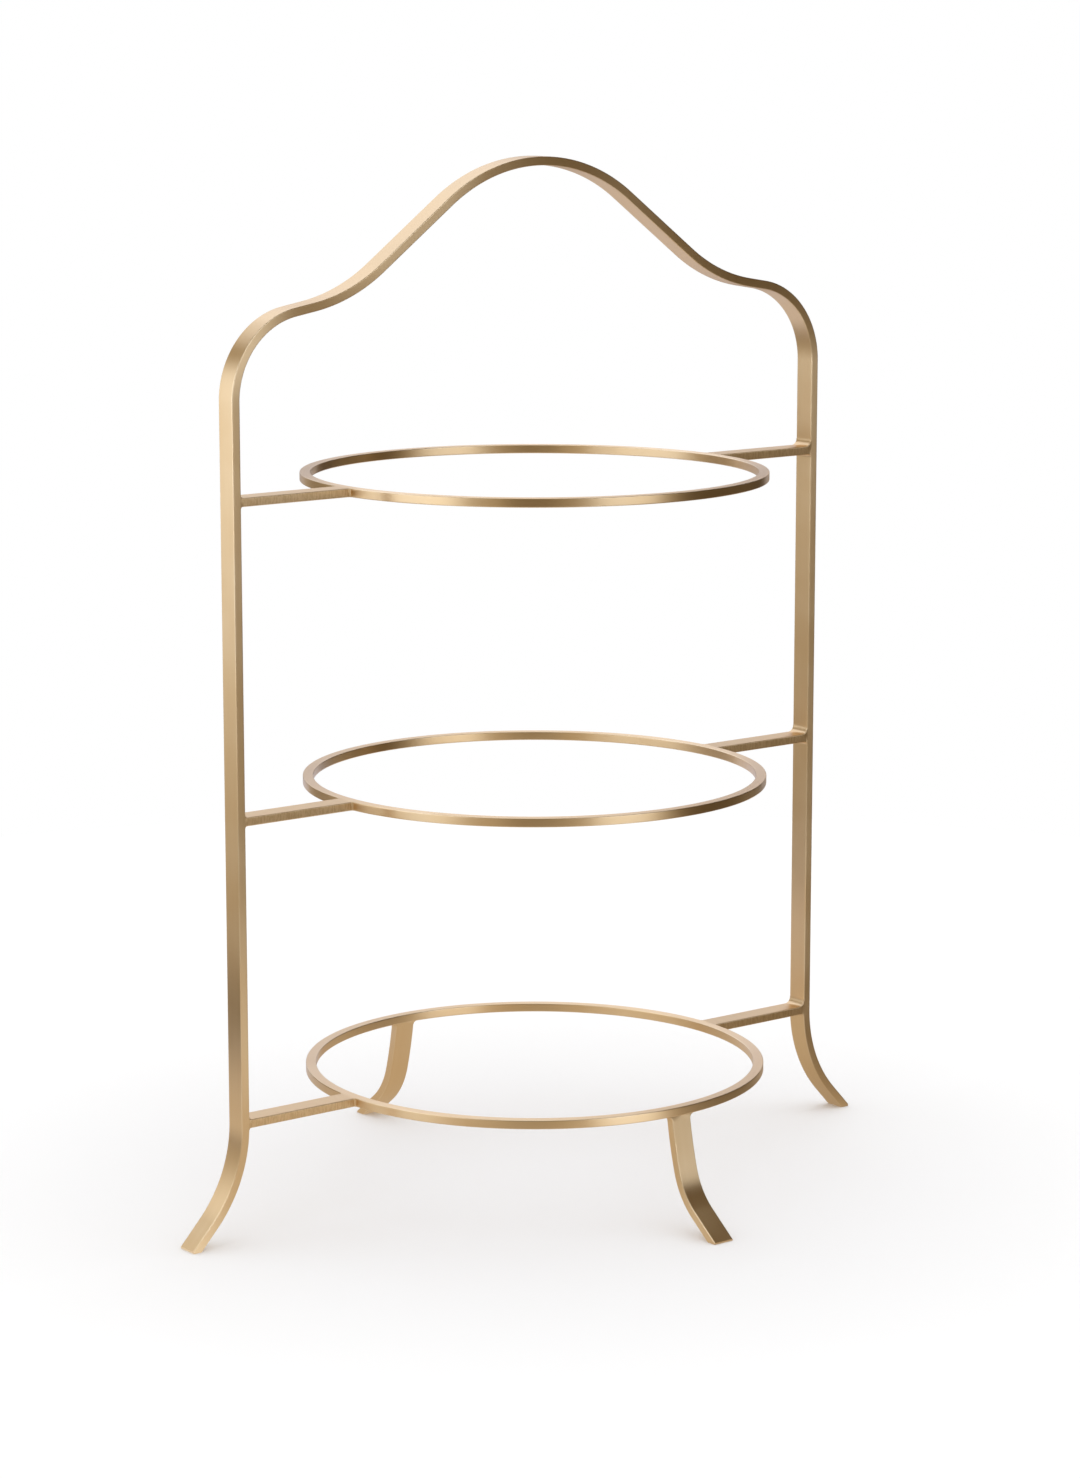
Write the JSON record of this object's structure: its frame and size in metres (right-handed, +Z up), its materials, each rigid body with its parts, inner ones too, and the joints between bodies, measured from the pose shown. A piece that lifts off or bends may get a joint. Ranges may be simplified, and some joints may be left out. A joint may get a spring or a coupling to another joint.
{
  "type": "tiered cake stand",
  "caption": "Tiered cake stand of satin brass flat bar: open plate rings stacked between the uprights of an arched carrying frame, on splayed feet.",
  "frame": {"origin": "centre of the stand's bounding box at its base, on the surface it stands on, under the rings' common centre", "axes": "+Z up through the rings' centres to the top of the arch; +X towards the right upright, so the frame bar lies in the XZ plane; -Y towards the front leg"},
  "size_m": [0.3708, 0.2608, 0.45],
  "materials": {
    "frame_bar": "satin, brushed along the bar",
    "rings": "satin, brushed round the ring",
    "arms": "satin, brushed across the sides",
    "legs": "satin, brushed along the bar",
    "welds": "satin, ground smooth"
  },
  "bodies": {
    "root": {"frame_bar": "frame_bar", "ring_bottom": "rings", "ring_middle": "rings", "ring_top": "rings", "arm_bottom_right": "arms", "arm_bottom_left": "arms", "arm_middle_right": "arms", "arm_middle_left": "arms", "arm_top_right": "arms", "arm_top_left": "arms", "leg_front": "legs", "leg_back": "legs", "frame_weld_bottom_right": "welds", "ring_weld_bottom_right": "welds", "frame_weld_bottom_left": "welds", "ring_weld_bottom_left": "welds", "frame_weld_middle_right": "welds", "ring_weld_middle_right": "welds", "frame_weld_middle_left": "welds", "ring_weld_middle_left": "welds", "frame_weld_top_right": "welds", "ring_weld_top_right": "welds", "frame_weld_top_left": "welds", "ring_weld_top_left": "welds", "leg_weld_front": "welds", "leg_weld_back": "welds"}
  },
  "joints": []
}
